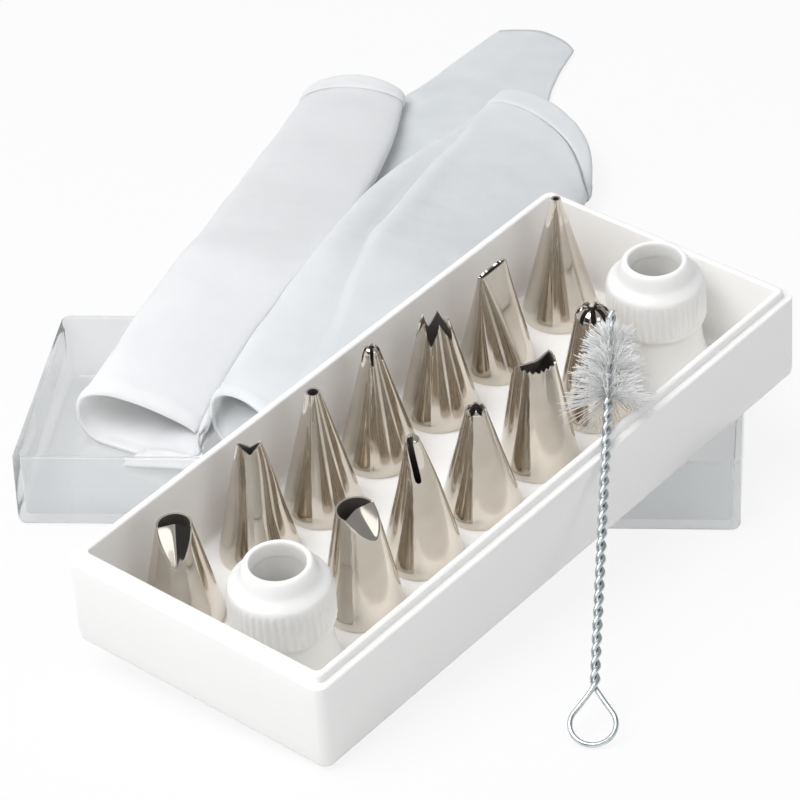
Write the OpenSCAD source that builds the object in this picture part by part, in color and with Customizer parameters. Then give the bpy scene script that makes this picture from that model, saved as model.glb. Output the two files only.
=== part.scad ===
// Boxed piping set: a cloth piping bag, a dozen icing nozzles, two couplers and a
// cleaning brush, laid out with the storage box opened.
// The box lid lies upturned on the table. The tray leans on the lid's front edge.

/* [Storage box] */
// Length of the box
box_l = 172; // [168:1:190]
// Width of the box
box_w = 74.2; // [72:0.2:84]
// Height of the lid
lid_h = 18.2; // [16:0.2:19]
// Wall of the clear lid
lid_wall = 1.6; // [1.2:0.1:2]
// Height of the tray up to its ledge
tray_h = 23; // [20:0.5:26]
// Wall of the tray
tray_wall = 3.5; // [3:0.1:3.8]
// Floor of the tray
tray_floor = 1.8; // [1.4:0.1:2]
// Height of the lip that the closed lid fits over
lip_h = 1.9; // [1.5:0.1:2.5]

/* [Pose of the tray] */
// Turn of the tray on the table, in degrees
tray_turn = 55.1; // [54:0.1:56]
// Slope of the tray, in degrees
tray_tilt = 9.85; // [9.6:0.05:10]
// Place of the tray's middle along the lid
tray_x = 18.9; // [18:0.1:20]

/* [Nozzles] */
// Foot diameter of a nozzle
nozzle_d = 18.5; // [18:0.1:18.6]
// Height of a nozzle
nozzle_h = 33.8; // [33:0.1:34.5]
// Sheet metal of a nozzle
nozzle_wall = 0.5; // [0.4:0.05:0.6]
// Spacing of the inner columns
col_pitch = 21.7; // [21.4:0.1:21.8]

/* [Couplers] */
// Outer diameter of the ring nut
nut_d = 23.8; // [23.4:0.1:24]
// Height of the ring nut
nut_h = 16.5; // [16:0.1:17]
// Hole of the ring nut
nut_hole_d = 12.6; // [12.2:0.1:12.8]
// Height of a coupler with its nut on
coupler_h = 30.4; // [30:0.1:31]
// Foot diameter of the coupler base
base_d = 25.2; // [24.8:0.1:25.2]

/* [Brush] */
// Thickness of the twisted wire
stem_d = 2.4; // [2.2:0.1:2.6]
// Number of bristles
bristle_count = 400; // [300:10:500]
// Reach of the longest bristles
bristle_reach = 11.2; // [10:0.1:11.5]

/* [Bag] */
// Cloth of the folded bag
cloth_t = 1.8; // [1.4:0.1:2]

/* [Hidden] */
$fn = 64;
eps = 0.05;

// Tray placed so that its underside rests on the lid's front edge and one corner on the table
rest_gap = 0.15;
corner_reach = box_l / 2 * sin(tray_turn) + box_w / 2 * cos(tray_turn);
tray_z = corner_reach * sin(tray_tilt) + rest_gap;
tray_y = -box_w / 2 - (lid_h + rest_gap - tray_z) / tan(tray_tilt);
lip_inset = 1.9;
box_corner = 2.2;
floor_corner = 1.2;

// Columns and rows of the pieces that stand in the tray
col_middle = 2;
end_col = 68.6;
back_row = 22;
front_row = -9.2;
coupler_col = 67.4;
coupler_middle = 0.8;
// Direction in the tray that faces the front of the set
face = -138;

foot_h = 2;
foot_r = nozzle_d / 2;
// Heights of the shorter nozzles
petal_h = nozzle_h - 7.4;
leaf_h = nozzle_h - 2.2;
round_h = nozzle_h - 0.8;
closed_star_h = nozzle_h - 2.2;
open_star_h = nozzle_h - 6.6;
ribbon_h = nozzle_h - 6;
wide_petal_h = nozzle_h - 5.8;
small_star_h = nozzle_h - 4.8;
ruffle_h = nozzle_h - 4.6;
drop_flower_h = nozzle_h - 3.4;
rib_count = 44;
rib_depth = 0.35;
collar_h = 4.2;
shoulder_h = 2.2;
nut_z = coupler_h - nut_h;
thread_r = 9.1;
thread_gap = 0.45;

// Brush: the loop touches the table, the stem rests on the tray's lip
brush_foot = [56.1, -131.1, 0.7];
brush_rise = 30.3;
brush_turn = -0.5;
loop_w = 11.2;
loop_l = 13;
loop_wire = 1.25;
stem_end = 84.5;
bristle_end = 107.5;
brush_tip = 111;
twist_pitch = 6.6;
// Length of the stem up to the place where it crosses the tray's lip
lip_cross = 78.6;
strand_d = 0.24;
golden_turn = 137.508;

// Bag folds: left edge x, y, right edge x, y, height of both edges, half thickness, bow of the middle,
// and how much thinner the right side is than the left
left_fold = [
    [-76.5, 2.5, -47, -3.5, 8.7, 6.8, 5.6, 0, 0.5],
    [-66.5, 23, -35.5, 15, 19, 18.5, 6.2, 0, 0.4],
    [-59, 41, -28, 31, 25.6, 25.4, 6, 0, 0.3],
    [-56, 59, -23, 52, 24.5, 24.5, 5.2, 0, 0.3],
    [-55, 84, -21, 77.5, 18.8, 19.4, 4.6, 0, 0.3],
    [-53.5, 114, -19.5, 108, 13.2, 14, 4.2, 0, 0.3],
    [-50.5, 144, -17.5, 137.5, 9, 9.8, 4, 0, 0.3],
    [-47, 172, -16, 167, 6.4, 7, 3.8, 0, 0.3],
    [-44.5, 192, -16, 190, 5, 5.2, 3.6, 2, 0.3],
    [-43.5, 202, -16.5, 202, 4.2, 4.6, 3.4, 6, 0.3]
];
right_fold = [
    [-45, 5.5, -20, -27, 10, 8.4, 7, 0, 0.4],
    [-33.5, 23, 4, 10, 20, 18.4, 6.8, 0, 0.35],
    [-24.5, 38.5, 14.5, 30.5, 27.4, 24, 6.6, 0, 0.35],
    [-21, 57, 21, 47, 26.6, 23.4, 6.2, 0, 0.35],
    [-19, 84, 27, 69.5, 20.6, 17.4, 5.6, 0, 0.35],
    [-16, 113, 33, 96, 14.6, 11.6, 5.1, 0, 0.35],
    [-8, 143, 37.5, 118, 10.2, 7.8, 4.8, 0, 0.35],
    [5, 173, 39.5, 130, 7.4, 5.6, 4.6, 4, 0.35],
    [13.5, 196.5, 40.5, 137.5, 6.4, 4.8, 4.4, 9, 0.3]
];
// Back panel under both folds, from the floor of the lid over its rim to a tongue on the table
back_panel = [
    [-62, -14, -18, -16, 3, 3, cloth_t / 2, 0, 0],
    [-52, 6, -14, 4, 5, 5, cloth_t / 2, 0, 0],
    [-48.5, 20, -9, 20, 10.5, 10.5, cloth_t / 2, 0, 0],
    [-46.5, 31, -6.5, 31, 18.8, 18.8, cloth_t / 2, 0, 0],
    [-45, 40, -4, 40, 20, 20, cloth_t / 2, 0, 0],
    [-43, 56, 3, 54, 19.2, 19.2, cloth_t / 2, 0, 0],
    [-42, 80, 8, 76, 14.2, 14.2, cloth_t / 2, 0, 0],
    [-41, 110, 13, 104, 9, 9, cloth_t / 2, 0, 0],
    [-38, 140, 18, 132, 5.2, 5.2, cloth_t / 2, 0, 0],
    [-33, 168, 26, 160, 2.8, 2.8, cloth_t / 2, 0, 0],
    [-24, 195, 28, 185, 1.4, 1.4, cloth_t / 2, 0, 0],
    [-14, 213, 26, 206, 1.3, 1.3, cloth_t / 2, 0, 0],
    [-4, 234, 27, 222, 1.3, 1.3, cloth_t / 2, 0, 0],
    [8, 258, 31, 243, 1.3, 1.3, cloth_t / 2, 4, 0]
];
fold_sides = 20;
fold_steps = 3;
// Rows of the hollow, counted from the mouth
mouth_rows = 3 * fold_steps + 1;

// A plate with round corners
module plate(l, w, h, r) {
    linear_extrude(h) {
        square([l - 2 * r, w], center = true);
        square([l, w - 2 * r], center = true);
        for (sx = [-1, 1], sy = [-1, 1])
            translate([sx * (l / 2 - r), sy * (w / 2 - r)]) circle(r);
    }
}

module lid() {
    color([0.86, 0.9, 0.93, 0.4])
        difference() {
            plate(box_l, box_w, lid_h, box_corner);
            translate([0, 0, lid_wall])
                plate(box_l - 2 * lid_wall, box_w - 2 * lid_wall, lid_h, box_corner - lid_wall / 2);
        }
}

// Carries a piece from the tray's own frame to its place on the lid
module on_tray() {
    translate([tray_x, tray_y, tray_z]) rotate([tray_tilt, 0, 0]) rotate([0, 0, tray_turn]) children();
}

module tray() {
    inner_l = box_l - 2 * tray_wall;
    inner_w = box_w - 2 * tray_wall;
    color([0.96, 0.96, 0.95])
        on_tray() difference() {
            union() {
                plate(box_l, box_w, tray_h, box_corner);
                plate(box_l - 2 * lip_inset, box_w - 2 * lip_inset, tray_h + lip_h, floor_corner);
            }
            translate([0, 0, tray_floor]) plate(inner_l, inner_w, tray_h + lip_h, floor_corner);
        }
}

// Stands a piece on the tray's floor
module stand(u, v, turn) {
    on_tray() translate([u, v, tray_floor + 0.02]) rotate([0, 0, turn]) children();
}

// A nozzle stands loose, a little off its place in the row
module in_back_row(col, turn, off = [0, 0]) {
    stand(col_middle + col + off[0], back_row + off[1], turn) children();
}

module in_front_row(col, turn, off = [0, 0]) {
    stand(col_middle + col + off[0], front_row + off[1], turn) children();
}

// Solid body of a nozzle: a short straight foot and a cone
module cone_body(tip_d, shrink, top) {
    cylinder(h = foot_h, r = foot_r - shrink);
    translate([0, 0, foot_h - eps])
        cylinder(h = top - foot_h + eps, r1 = foot_r - shrink, r2 = tip_d / 2 - shrink);
}

// Hollow nozzle with a round tip
module shell(tip_d, top = nozzle_h) {
    difference() {
        cone_body(tip_d, 0, top);
        translate([0, 0, -eps]) cylinder(h = foot_h + eps, r = foot_r - nozzle_wall);
        translate([0, 0, foot_h - 2 * eps])
            cylinder(h = top - foot_h + 3 * eps, r1 = foot_r - nozzle_wall, r2 = tip_d / 2 - nozzle_wall);
    }
}

// Wedge that notches a tip wall, its point down, on the side that +X faces
module notch(width, depth, top = nozzle_h) {
    translate([0, 0, top])
        rotate([90, 0, 90])
            linear_extrude(foot_r) polygon([[-width / 2, eps], [0, -depth], [width / 2, eps]]);
}

// Narrow cut with a round lower end, on the side that +X faces
module slot(width, depth, start = 0, top = nozzle_h) {
    translate([start, -width / 2, top - depth]) cube([foot_r, width, depth + 1]);
    translate([start, 0, top - depth]) rotate([0, 90, 0]) cylinder(h = foot_r, d = width);
}

module nozzle_color() {
    color([0.72, 0.7, 0.67]) children();
}

module nozzle_leaf() {
    nozzle_color() in_back_row(-2 * col_pitch, face, [0.9, 0]) difference() {
        shell(5, leaf_h);
        notch(3.4, 2.6, leaf_h);
        rotate([0, 0, 180]) notch(3.4, 2.6, leaf_h);
    }
}

module nozzle_round() {
    nozzle_color() in_back_row(-col_pitch, face, [0.2, -0.9]) shell(3.2, round_h);
}

module nozzle_closed_star() {
    slots = 5;
    nozzle_color() in_back_row(0, face, [0.4, 0.4]) difference() {
        shell(3, closed_star_h);
        for (i = [0:slots - 1]) rotate([0, 0, i * 360 / slots]) notch(1.4, 5, closed_star_h);
    }
}

module nozzle_open_star() {
    teeth = 5;
    nozzle_color() in_back_row(col_pitch, face + 20, [0, -0.5]) difference() {
        shell(6.6, open_star_h);
        for (i = [0:teeth - 1]) rotate([0, 0, i * 360 / teeth]) notch(3.3, 5.4, open_star_h);
    }
}

// Blend from the round foot to a flat slit
module chisel(width, thick, shrink) {
    hull() {
        translate([0, 0, foot_h]) cylinder(h = eps, r = foot_r - shrink);
        translate([0, 0, ribbon_h - eps / 2])
            cube([width - 2 * shrink, thick - 2 * shrink, eps], center = true);
    }
}

module nozzle_ribbon() {
    slit_w = 10;
    slit_t = 2;
    nozzle_color() in_back_row(2 * col_pitch, 1, [0.4, 0]) difference() {
        union() {
            cylinder(h = foot_h + eps, r = foot_r);
            chisel(slit_w, slit_t, 0);
        }
        translate([0, 0, -eps]) cylinder(h = foot_h + 2 * eps, r = foot_r - nozzle_wall);
        chisel(slit_w, slit_t, nozzle_wall);
        translate([0, 0, ribbon_h])
            cube([slit_w - 2 * nozzle_wall, slit_t - 2 * nozzle_wall, 1], center = true);
    }
}

module nozzle_writer() {
    nozzle_color() in_back_row(end_col, face) shell(2.2);
}

// Keeps what lies behind a plane that slopes from the front of the cone to its tip
module behind_facet(offset, slope, top) {
    size = 4 * foot_r;
    translate([offset, 0, top]) rotate([0, -slope, 0])
        translate([-size, -size / 2, -2 * size]) cube([size, size, 3 * size]);
}

// Cone pressed in on one side, so that its opening is a crescent
module pressed_shell(tip_d, offset, slope, top) {
    difference() {
        intersection() {
            cone_body(tip_d, 0, top);
            behind_facet(offset, slope, top);
        }
        translate([0, 0, -eps]) cylinder(h = foot_h + eps, r = foot_r - nozzle_wall);
        intersection() {
            translate([0, 0, foot_h - 2 * eps])
                cylinder(h = top - foot_h + 3 * eps, r1 = foot_r - nozzle_wall, r2 = tip_d / 2 - nozzle_wall);
            behind_facet(offset - nozzle_wall / cos(slope), slope, top);
        }
    }
}

module nozzle_petal() {
    nozzle_color() in_back_row(-end_col, face, [-0.5, -0.9]) pressed_shell(8, 0.3, 33, petal_h);
}

module nozzle_wide_petal() {
    nozzle_color() in_front_row(-2 * col_pitch, face + 45, [0.2, -0.4])
        pressed_shell(9.2, 0.2, 44, wide_petal_h);
}

module nozzle_rose() {
    dome_r = 1.9;
    nozzle_color() in_front_row(-col_pitch, face + 14) difference() {
        union() {
            shell(2 * dome_r, nozzle_h - dome_r);
            translate([0, 0, nozzle_h - dome_r]) difference() {
                sphere(dome_r);
                sphere(dome_r - nozzle_wall);
                translate([0, 0, -dome_r]) cube(2 * dome_r, center = true);
            }
        }
        slot(1.7, 11, -0.6);
    }
}

module nozzle_small_star() {
    teeth = 6;
    bend = small_star_h - 2;
    tooth_r = 2.6;
    nozzle_color() in_front_row(0, face, [-0.3, 0.4]) difference() {
        union() {
            shell(2 * tooth_r, bend);
            translate([0, 0, bend - eps]) difference() {
                cylinder(h = small_star_h - bend, r1 = tooth_r, r2 = tooth_r - 0.9);
                translate([0, 0, -eps])
                    cylinder(h = small_star_h - bend + 2 * eps, r1 = tooth_r - nozzle_wall,
                             r2 = tooth_r - nozzle_wall - 0.9);
            }
        }
        for (i = [0:teeth - 1]) rotate([0, 0, (i + 0.5) * 360 / teeth]) notch(1.3, 1.8, small_star_h);
    }
}

module nozzle_ruffle() {
    teeth = 6;
    tooth_step = 21;
    nozzle_color() in_front_row(col_pitch, face + 214, [-0.9, 0.2]) difference() {
        pressed_shell(9.6, -0.2, 24, ruffle_h);
        for (i = [0:teeth - 1])
            rotate([0, 0, 180 + (i - (teeth - 1) / 2) * tooth_step]) notch(1.2, 1.1, ruffle_h);
    }
}

module nozzle_drop_flower() {
    slots = 8;
    dome_r = 4.2;
    dome_h = 3.2;
    shoulder = drop_flower_h - dome_h;
    nozzle_color() in_front_row(2 * col_pitch, face, [-0.4, 0.6]) difference() {
        union() {
            shell(2 * dome_r, shoulder);
            translate([0, 0, shoulder - eps]) difference() {
                cylinder(h = dome_h, r1 = dome_r, r2 = dome_r - 2.4);
                translate([0, 0, -eps])
                    cylinder(h = dome_h - nozzle_wall, r1 = dome_r - nozzle_wall,
                             r2 = dome_r - 2.4 - nozzle_wall);
            }
        }
        for (i = [0:slots - 1]) rotate([0, 0, i * 360 / slots]) slot(0.7, dome_h, 1.4, drop_flower_h);
    }
}

// Coupler base: a flared skirt below, a threaded neck above, hollow throughout
module coupler_base() {
    neck_z = nut_z - 0.5;
    neck_top = coupler_h - collar_h - 1;
    neck_r = thread_r - 0.5;
    bore_low = base_d / 2 - 1.6;
    bore_top = nut_hole_d / 2;
    rim_h = 1.2;
    thread_rings = 3;
    ring_step = 2.6;
    color([0.95, 0.95, 0.93]) difference() {
        union() {
            cylinder(h = 1.6, d = base_d);
            translate([0, 0, 1.6 - eps]) cylinder(h = neck_z - 1.6 + eps, d1 = base_d, r2 = 10.2);
            cylinder(h = neck_top, r = neck_r);
            translate([0, 0, neck_top - eps]) cylinder(h = rim_h, r1 = neck_r, r2 = bore_top + 0.6);
            for (i = [0:thread_rings - 1])
                translate([0, 0, neck_z + 2 + i * ring_step]) cylinder(h = 1.1, r = thread_r);
        }
        translate([0, 0, -eps]) cylinder(h = neck_z, r1 = bore_low, r2 = bore_top);
        cylinder(h = coupler_h, r = bore_top);
    }
}

// Ring nut: smooth collar and shoulder above a ribbed band
module coupler_nut() {
    shoulder_z = nut_h - collar_h;
    rib_top = shoulder_z - shoulder_h;
    core_r = nut_d / 2 - rib_depth;
    collar_r = nut_hole_d / 2 + 1.7;
    bore_r = thread_r + thread_gap;
    rib_shape = [[-0.25, core_r], [-0.12, nut_d / 2], [0.12, nut_d / 2], [0.25, core_r]];
    rib_points = [
        for (i = [0:rib_count - 1], k = rib_shape)
            let (a = (i + k[0]) * 360 / rib_count) [k[1] * cos(a), k[1] * sin(a)]
    ];
    color([0.97, 0.97, 0.96]) translate([0, 0, nut_z]) difference() {
        union() {
            linear_extrude(rib_top) polygon(rib_points);
            rotate_extrude() polygon([
                [0, 0.4], [core_r, 0.4], [core_r, rib_top], [core_r - 0.6, rib_top + 1.2],
                [collar_r + 0.4, shoulder_z], [collar_r, shoulder_z + 0.6],
                [collar_r - 0.3, nut_h - 0.5], [collar_r - 0.8, nut_h], [0, nut_h]
            ]);
        }
        translate([0, 0, -eps]) cylinder(h = rib_top + 1, r = bore_r);
        translate([0, 0, rib_top + 0.9]) cylinder(h = shoulder_h, r1 = bore_r, r2 = nut_hole_d / 2);
        translate([0, 0, rib_top]) cylinder(h = nut_h, r = nut_hole_d / 2);
    }
}

module at_coupler(side) {
    stand(coupler_middle + side * coupler_col, front_row, 0) children();
}

module coupler_base_front() {
    at_coupler(-1) coupler_base();
}

module coupler_nut_front() {
    at_coupler(-1) coupler_nut();
}

module coupler_base_rear() {
    at_coupler(1) coupler_base();
}

module coupler_nut_rear() {
    at_coupler(1) coupler_nut();
}

// Puts a piece on the brush, whose stem runs along +Z from the foot of the loop
module on_brush() {
    translate(brush_foot) rotate([brush_rise - 90, 0, brush_turn]) children();
}

// Open loop of the bent wire: a round bow, two legs that close in on the twisted stem
module brush_loop() {
    bow_r = (loop_w - loop_wire) / 2;
    bow_z = bow_r + loop_wire / 2;
    half_angle = 38;
    leg_x = bow_r * cos(half_angle);
    leg_z = bow_z + bow_r * sin(half_angle);
    leg_top = loop_l + 1;
    leg_lean = atan2(leg_x - loop_wire / 2, leg_top - leg_z);
    leg_len = (leg_top - leg_z) / cos(leg_lean);
    color([0.62, 0.65, 0.66]) on_brush() {
        translate([0, 0, bow_z]) rotate([90, 0, 0]) rotate([0, 0, 180 - half_angle])
            rotate_extrude(angle = 180 + 2 * half_angle)
                translate([bow_r, 0]) circle(d = loop_wire, $fn = 24);
        for (side = [-1, 1])
            translate([side * leg_x, 0, leg_z]) rotate([0, -side * leg_lean, 0]) {
                cylinder(h = leg_len, d = loop_wire, $fn = 24);
                sphere(d = loop_wire, $fn = 24);
            }
    }
}

// Two wires twisted together
module brush_stem() {
    start = loop_l + 1.2;
    length = stem_end - start;
    turns = length / twist_pitch;
    strand_r = stem_d / 4;
    color([0.62, 0.65, 0.66]) on_brush() translate([0, 0, start])
        linear_extrude(length, twist = -360 * turns, slices = ceil(turns * 8), segments = 12)
            for (side = [-1, 1]) translate([side * strand_r, 0]) circle(strand_r * 1.04, $fn = 6);
}

// Reach of a bristle, shorter towards the tip
function reach_at(z) = bristle_reach - (z - stem_end) * 0.25;

// Corner of a three sided bristle: its root lies inside the core, its end at the reach
function bristle_corner(i, end, k) =
    let (
        z = stem_end + 0.8 + (bristle_end - stem_end - 1.2) * (i + 0.5) / bristle_count,
        a = i * golden_turn,
        r = end == 0 ? stem_d / 2 - 0.5 : clear_reach(z, a),
        lift = end == 0 ? 0 : 0.12 * r,
        b = k * 120,
        s = strand_d / 2
    )
    [
        r * cos(a) - s * cos(b) * sin(a),
        r * sin(a) + s * cos(b) * cos(a),
        z + lift + s * sin(b)
    ];

// A bristle that points down at the tray's front wall stops short of it
function clear_reach(z, a) =
    let (
        past_lip = z - lip_cross,
        above_lip = 1 + past_lip * 0.347,
        inside_wall = past_lip * 0.53 - 1.9,
        down = 0.937 * sin(a),
        outward = 0.82 * cos(a) - 0.2 * sin(a),
        room_down = down > 0.05 ? above_lip / down : bristle_reach,
        room_out = outward > 0.05 ? inside_wall / outward : bristle_reach
    )
    min(reach_at(z), max(room_down, room_out));

module brush_bristles() {
    points = [for (i = [0:bristle_count - 1], end = [0, 1], k = [0:2]) bristle_corner(i, end, k)];
    faces = [
        for (i = [0:bristle_count - 1])
            let (b = i * 6)
            each [
                [b, b + 1, b + 2], [b + 5, b + 4, b + 3],
                [b, b + 3, b + 1], [b + 1, b + 3, b + 4],
                [b + 1, b + 4, b + 2], [b + 2, b + 4, b + 5],
                [b + 2, b + 5, b], [b, b + 5, b + 3]
            ]
    ];
    color([0.93, 0.95, 0.96]) on_brush() resize([0, 0, 0]) union() {
        translate([0, 0, stem_end + 0.02]) cylinder(h = brush_tip - stem_end, d = stem_d - 0.2, $fn = 12);
        polyhedron(points, faces);
    }
}

// Value on a smooth curve through four neighbours
function smooth(a, b, c, d, t) =
    0.5 * ((2 * b) + (c - a) * t + (2 * a - 5 * b + 4 * c - d) * t * t + (3 * b - a - 3 * c + d) * t * t * t);

// Stations of a fold, refined along its length
function refined(list) =
    let (last = len(list) - 1)
    [
        for (i = [0:last - 1], j = [0:fold_steps - 1])
            smooth(list[max(0, i - 1)], list[i], list[i + 1], list[min(last, i + 2)], j / fold_steps),
        list[last]
    ];

function flat_sine(a) = sign(sin(a)) * pow(abs(sin(a)), 0.8);

// Corner of a fold's cross section, drawn in by an amount
function fold_corner(s, a, inset) =
    let (
        half = [(s[2] - s[0]) / 2, (s[3] - s[1]) / 2],
        draw = (norm(half) - inset) / norm(half) * cos(a),
        bow = s[7] * pow(sin(a), 2) / norm(half),
        thick = s[6] * (1 - s[8] * cos(a)) - inset
    )
    [
        (s[0] + s[2]) / 2 + half[0] * draw - half[1] * bow,
        (s[1] + s[3]) / 2 + half[1] * draw + half[0] * bow,
        (s[4] + s[5]) / 2 + (s[5] - s[4]) / 2 * cos(a) + thick * flat_sine(a)
    ];

// Triangles of a tube between rows of corners, starting at a given corner
function tube(start, rows) =
    let (n = fold_sides)
    [
        for (i = [0:rows - 2], k = [0:n - 1])
            let (a = start + i * n + k, b = start + i * n + (k + 1) % n)
            each [[a, b, a + n], [b, b + n, a + n]]
    ];

function turned(faces) = [for (f = faces) [f[0], f[2], f[1]]];

// Fan of triangles that closes a row of corners
function lid_of(start) = [for (k = [1:fold_sides - 2]) [start, start + k, start + k + 1]];

// A fold of the bag: a skin closed at the hem, with a hollow that opens at the mouth
module fold(list, hollow_rows) {
    n = fold_sides;
    outer = refined(list);
    inner = [for (i = [0:1:hollow_rows - 1]) outer[i]];
    rows = len(outer);
    points = [
        for (s = outer, k = [0:n - 1]) fold_corner(s, k * 360 / n, 0),
        for (s = inner, k = [0:n - 1]) fold_corner(s, k * 360 / n, cloth_t)
    ];
    hollow = rows * n;
    rim = [
        for (k = [0:n - 1])
            let (a = k, b = (k + 1) % n)
            each [[b, a, hollow + a], [b, hollow + a, hollow + b]]
    ];
    faces = concat(
        tube(0, rows),
        lid_of((rows - 1) * n),
        hollow_rows > 0
            ? concat(rim, turned(tube(hollow, hollow_rows)), turned(lid_of(hollow + (hollow_rows - 1) * n)))
            : turned(lid_of(0))
    );
    polyhedron(points, faces);
}

module bag_left_fold() {
    color([0.97, 0.97, 0.97]) fold(left_fold, mouth_rows);
}

module bag_right_fold() {
    color([0.97, 0.97, 0.97]) fold(right_fold, mouth_rows);
}

module bag_back_panel() {
    color([0.9, 0.92, 0.93]) fold(back_panel, 0);
}

lid();
tray();
nozzle_petal();
nozzle_leaf();
nozzle_round();
nozzle_closed_star();
nozzle_open_star();
nozzle_ribbon();
nozzle_writer();
nozzle_wide_petal();
nozzle_rose();
nozzle_small_star();
nozzle_ruffle();
nozzle_drop_flower();
coupler_base_front();
coupler_nut_front();
coupler_base_rear();
coupler_nut_rear();
brush_loop();
brush_stem();
brush_bristles();
bag_left_fold();
bag_right_fold();
bag_back_panel();
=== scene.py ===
import random
from bisect import bisect_left
from math import asin, atan2, ceil, cos, exp, log, pi, radians, sin, sqrt, tan

import bpy
from mathutils import Matrix, Vector, noise


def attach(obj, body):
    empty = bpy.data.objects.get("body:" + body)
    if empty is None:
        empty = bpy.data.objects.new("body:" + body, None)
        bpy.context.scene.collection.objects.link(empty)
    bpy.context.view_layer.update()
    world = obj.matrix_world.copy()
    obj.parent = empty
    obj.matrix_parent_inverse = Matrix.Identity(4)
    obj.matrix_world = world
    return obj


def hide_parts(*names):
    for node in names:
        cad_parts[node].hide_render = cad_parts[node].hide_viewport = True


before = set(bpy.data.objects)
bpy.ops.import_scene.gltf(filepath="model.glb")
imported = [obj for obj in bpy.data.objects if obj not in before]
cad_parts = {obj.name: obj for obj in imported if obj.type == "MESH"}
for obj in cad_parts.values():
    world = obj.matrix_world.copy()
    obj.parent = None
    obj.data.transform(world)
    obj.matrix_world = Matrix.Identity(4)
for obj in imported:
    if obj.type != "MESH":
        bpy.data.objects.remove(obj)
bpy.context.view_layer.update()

# All sizes are in millimetres, and turn into metres when a mesh is made
MM = 0.001

# Storage box
BOX_L = 172
BOX_W = 74.2
LID_H = 18.2
LID_WALL = 1.6
TRAY_H = 23
TRAY_WALL = 3.5
TRAY_FLOOR = 1.8
LIP_H = 1.9
LIP_INSET = 1.9
BOX_CORNER = 2.2

# Pose of the tray, which leans on the front edge of the lid
TRAY_TURN = radians(55.1)
TRAY_TILT = radians(9.85)
TRAY_X = 18.9
REST_GAP = 0.15
TRAY_Z = (BOX_L / 2 * sin(TRAY_TURN) + BOX_W / 2 * cos(TRAY_TURN)) * sin(TRAY_TILT) + REST_GAP
TRAY_Y = -BOX_W / 2 - (LID_H + REST_GAP - TRAY_Z) / tan(TRAY_TILT)

# Places in the tray
COL_PITCH = 21.7
COL_MIDDLE = 2
END_COL = 68.6
BACK_ROW = 22
FRONT_ROW = -9.2
COUPLER_COL = 67.4
COUPLER_MIDDLE = 0.8
STAND_GAP = 0.02
# Direction in the tray's frame that faces the camera, in degrees
FACE = -138

# Nozzles
FOOT_R = 9.25
FOOT_H = 2
NOZZLE_H = 33.8
SHEET_T = 0.42
FOOT_EDGE = 0.06
# Seam along each nozzle: degrees from the side that faces the camera, width, rise and waviness
SEAM_SIDE = -16
SEAM_W = 0.4
SEAM_RISE = 0.14
SEAM_WAVES = 0.45
# Roundness of a pressed dent's edge and of its bottom
DENT_EDGE = 0.12
DENT_BOTTOM = 0.5
# Roundness of a slot's bottom as a share of its width, and steps in which its sides are searched
SLOT_ROUND = 0.3
SLOT_STEP = 0.04
# Power that squares off the ends of a flat slit
SLIT_POWER = 0.55
# Height below the tip over which the seam fades, and power that brings rows closer together towards the tip
SEAM_FADE = 3
ROW_POWER = 1.5

# Couplers
NUT_D = 23.8
NUT_H = 16.5
NUT_HOLE_D = 12.6
COUPLER_H = 30.4
BASE_D = 25.2
RIBS = 44
RIB_RISE = 0.42
RIB_POWER = 1.3
NECK_R = 8.6
THREAD_R = 9.1
THREADS = 3
THREAD_PITCH = 2.6

# Brush
BRUSH_FOOT = (56.1, -131.1, 0.7)
BRUSH_RISE = radians(30.3)
BRUSH_TURN = radians(-0.5)
WIRE_R = 0.6
TWIST_PITCH = 6.6
TWIST_STEPS = 14
LOOP_W = 11.2
STEM_START = 14.2
BRISTLE_START = 87.5
BRISTLE_END = 104
BRUSH_TIP = 111
BRISTLES = 860
BRISTLE_R = 0.09
BRISTLE_ROOT = 0.5
BRISTLE_REACH = 12.6
# How much shorter the bristles are at the tip than at the start, and the shortest that is made
BRISTLE_TAPER = 6.4
BRISTLE_MIN = 2
# Lean of the first bristles along the stem for each millimetre of reach, and what is added by the last
BRISTLE_LEAN = -0.25
BRISTLE_LEAN_GAIN = 0.75
# Tiers of longer and shorter bristles: half waves along the stem, and half of the length lost between them
TIER_HALF_WAVES = 5
TIER_DEPTH = 0.12
# Gap kept between a bristle and the tray's wall
BRISTLE_GAP = 0.1
# Where the stem crosses the tray's lip, and how much it rises and moves inwards for each millimetre
LIP_CROSS = 78.6
STEM_CLIMB = 0.347
STEM_INWARD = 0.53


def smooth_step(a, b, x):
    t = min(1, max(0, (x - a) / (b - a)))
    return t * t * (3 - 2 * t)


def soft_min(a, b, k):
    return min(a, b) - k * log(1 + exp(-abs(a - b) / k))


# Camera, placed as the photograph was taken
CAMERA_RISE = radians(28.16)
CAMERA_YAW = radians(6.72)
CAMERA_ROLL = radians(-2.8)
CAMERA_DISTANCE = 1.02245
CAMERA_TARGET = Vector((-0.00026, 0.02683, 0))
FOCAL_PIXELS = 4090.4
IMAGE_PIXELS = 800


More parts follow.
